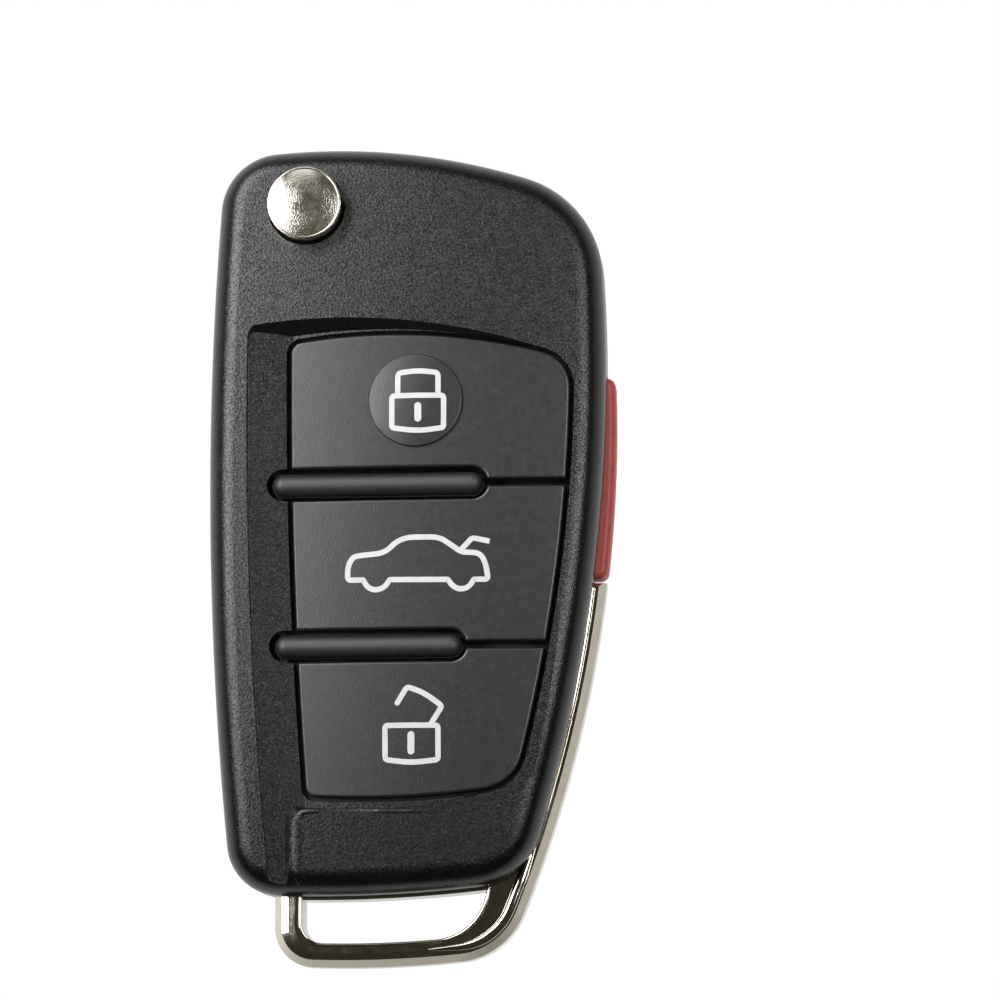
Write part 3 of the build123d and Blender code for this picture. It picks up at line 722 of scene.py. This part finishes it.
def framePath(inset):
    bar, barRadius = frameLook["bar"]
    rail, railRadius, rightCorner = frameLook["right"]
    left, leftCorner = frameLook["left"]
    start = frameLook["start"]
    first = underArc(bar, barRadius - leftCorner, left + leftCorner)
    second = cornerRight()
    barFrom, barTo, railFrom = angleTo(bar, first), angleTo(bar, second), angleTo(rail, second)
    path = [(left + inset, start), (left + inset, (start + first[1]) / 2)]
    path += arcPoints(first, leftCorner - inset, math.pi, barFrom + 2 * math.pi)
    path += arcPoints(bar, barRadius - inset, barFrom, barTo)[1:]
    path += arcPoints(second, rightCorner - inset, barTo, railFrom)[1:]
    railTo = math.asin((frameLook["end"] - rail[1]) / (railRadius - inset))
    path += arcPoints(rail, railRadius - inset, railFrom, railTo)[1:]
    return [(x, y, frameLook["top"]) for x, y in path]


# A low ridge with flat sides along the left leg and the bar
ridgeLook = {
    "inset": 1.38, "width": 1.3, "height": 0.18, "corners": 4,
    "highest": -20.0,                # it follows only the leg and the bar, up to here
    "rightmost": 4.0,
    "fadeFrom": 3.6, "fadeLength": 6.0,
}
path = [(x, y, z) for x, y, z in framePath(ridgeLook["inset"])
        if y < ridgeLook["highest"] and x < ridgeLook["rightmost"]]
thickness = [min(1.0, max(thinnest, (ridgeLook["fadeFrom"] - x) / ridgeLook["fadeLength"]))
             for x, y, z in path]
makeBead("legRidge", path, thickness, ridgeLook, "nickel", "case")

# A rounded bead from the middle of the bar, round the corner and along the rail
railLook = {
    "inset": 1.38, "width": 1.2, "height": 0.34, "corners": 12,
    "full": 0.9,
    "growth": 8.0,                   # it grows over this length, from the middle of the bar
    "upper": 0.55,                   # thinner again along the rail, above the corner
    "cornerTop": -24.0, "cornerLength": 9.0,
}
path = [spot for spot in framePath(railLook["inset"]) if spot[0] > 0]
thickness = [min(railLook["full"], max(thinnest, x / railLook["growth"]),
                 max(railLook["upper"], (railLook["cornerTop"] - y) / railLook["cornerLength"]))
             for x, y, z in path]
makeBead("railBead", path, thickness, railLook, "nickel", "case")

# The edge of the key ring hole
holeLook = {
    "inset": 0.2, "width": 0.34, "height": 0.12, "corners": 12,
    "ends": (-33.0, -34.0),          # its two ends run up under the case
}


def holePath(inset):
    bar, barRadius = frameLook["bar"]
    leg, width, right, leftCorner, rightCorner = frameLook["hole"]
    left = frameLook["left"][0] + leg
    radius = barRadius - width
    first = underArc(bar, radius - leftCorner, left + leftCorner)
    second = underArc(bar, radius - rightCorner, right - rightCorner)
    barFrom, barTo = angleTo(bar, first), angleTo(bar, second)
    path = [(left - inset, y) for y in holeLook["ends"]]
    path += arcPoints(first, leftCorner + inset, math.pi, barFrom + 2 * math.pi)
    path += arcPoints(bar, radius + inset, barFrom, barTo)[1:]
    path += arcPoints(second, rightCorner + inset, barTo, 0)[1:]
    path += [(right + inset, y) for y in reversed(holeLook["ends"])]
    return [(x, y, frameLook["top"]) for x, y in path]


path = holePath(holeLook["inset"])
makeBead("holeBead", path, [1.0] * len(path), holeLook, "nickel", "case")

# The left edge of the recess round the keys
recessLook = {
    "inset": 0.16, "width": 0.16, "height": 0.08, "corners": 12,
    "centre": (520.47, 17.58), "radius": 536.84,
    "high": 20.8, "low": -31.5,
    "steps": 200,
    "fadeSteps": 30, "end": 0.05,    # it fades out over its last steps, to this thickness
}
shellTop = topOf("front_shell")
centreX, centreY = recessLook["centre"]
high, low, steps = recessLook["high"], recessLook["low"], recessLook["steps"]
path, thickness = [], []
for i in range(steps + 1):
    y = high + (low - high) * i / steps
    x = centreX - math.sqrt((recessLook["radius"] - recessLook["inset"]) ** 2 - (y - centreY) ** 2)
    path.append((x, y, shellTop(x * mm, y * mm) / mm))
    thickness.append(min(1.0, (steps - i) / recessLook["fadeSteps"] + recessLook["end"]))
makeBead("recessBead", path, thickness, recessLook, "shell", "case")

# The rounded top and left edge of the pad below the keys
padLook = {
    "left": -11.0, "top": -25.75, "corner": 0.9, "bottom": -33.0, "right": 4.0,
    "width": 2.3, "height": 0.4, "corners": 12,
    "proud": 0.05,                   # it is sunk into the pad, apart from this
    "topWidth": 0.2,                 # how thin it is along the top
    "topSteps": 60, "leftSteps": 40,
    "topFade": 4.0, "leftFade": 2.5,     # the lengths over which its two ends fade out
}
left, right, corner = padLook["left"], padLook["right"], padLook["corner"]
high, low, narrow = padLook["top"], padLook["bottom"], padLook["topWidth"]
flat = [(right + (left + corner - right) * i / padLook["topSteps"], high)
        for i in range(padLook["topSteps"])]
flat += arcPoints((left + corner, high - corner), corner, math.pi / 2, math.pi)
flat += [(left, high - corner + (low - high + corner) * i / padLook["leftSteps"])
         for i in range(1, padLook["leftSteps"] + 1)]
path, thickness = [], []
for x, y in flat:
    size = min(1.0, narrow + (1 - narrow) * (high - y) / corner)
    size *= min(1.0, thinnest + (right - x) / padLook["topFade"],
                thinnest + (y - low) / padLook["leftFade"])
    sunk = max(0.0, padLook["height"] * size - padLook["proud"])
    path.append((x, y, shellTop(x * mm, y * mm) / mm - sunk))
    thickness.append(size)
makeBead("padBead", path, thickness, padLook, "shell", "case")

# The rim of the flip button's top
capLook = {"radius": 3.5, "top": 16.4, "width": 0.22, "height": 0.11, "corners": 12, "steps": 72}
x, y = capCentre
radius, steps = capLook["radius"], capLook["steps"]
turns = [2 * math.pi * i / steps for i in range(steps)]
path = [(x + radius * math.cos(a), y + radius * math.sin(a), capLook["top"]) for a in turns]
makeBead("capBead", path, [1.0] * len(path), capLook, "capNickel", "flip_button",
         closed=True)
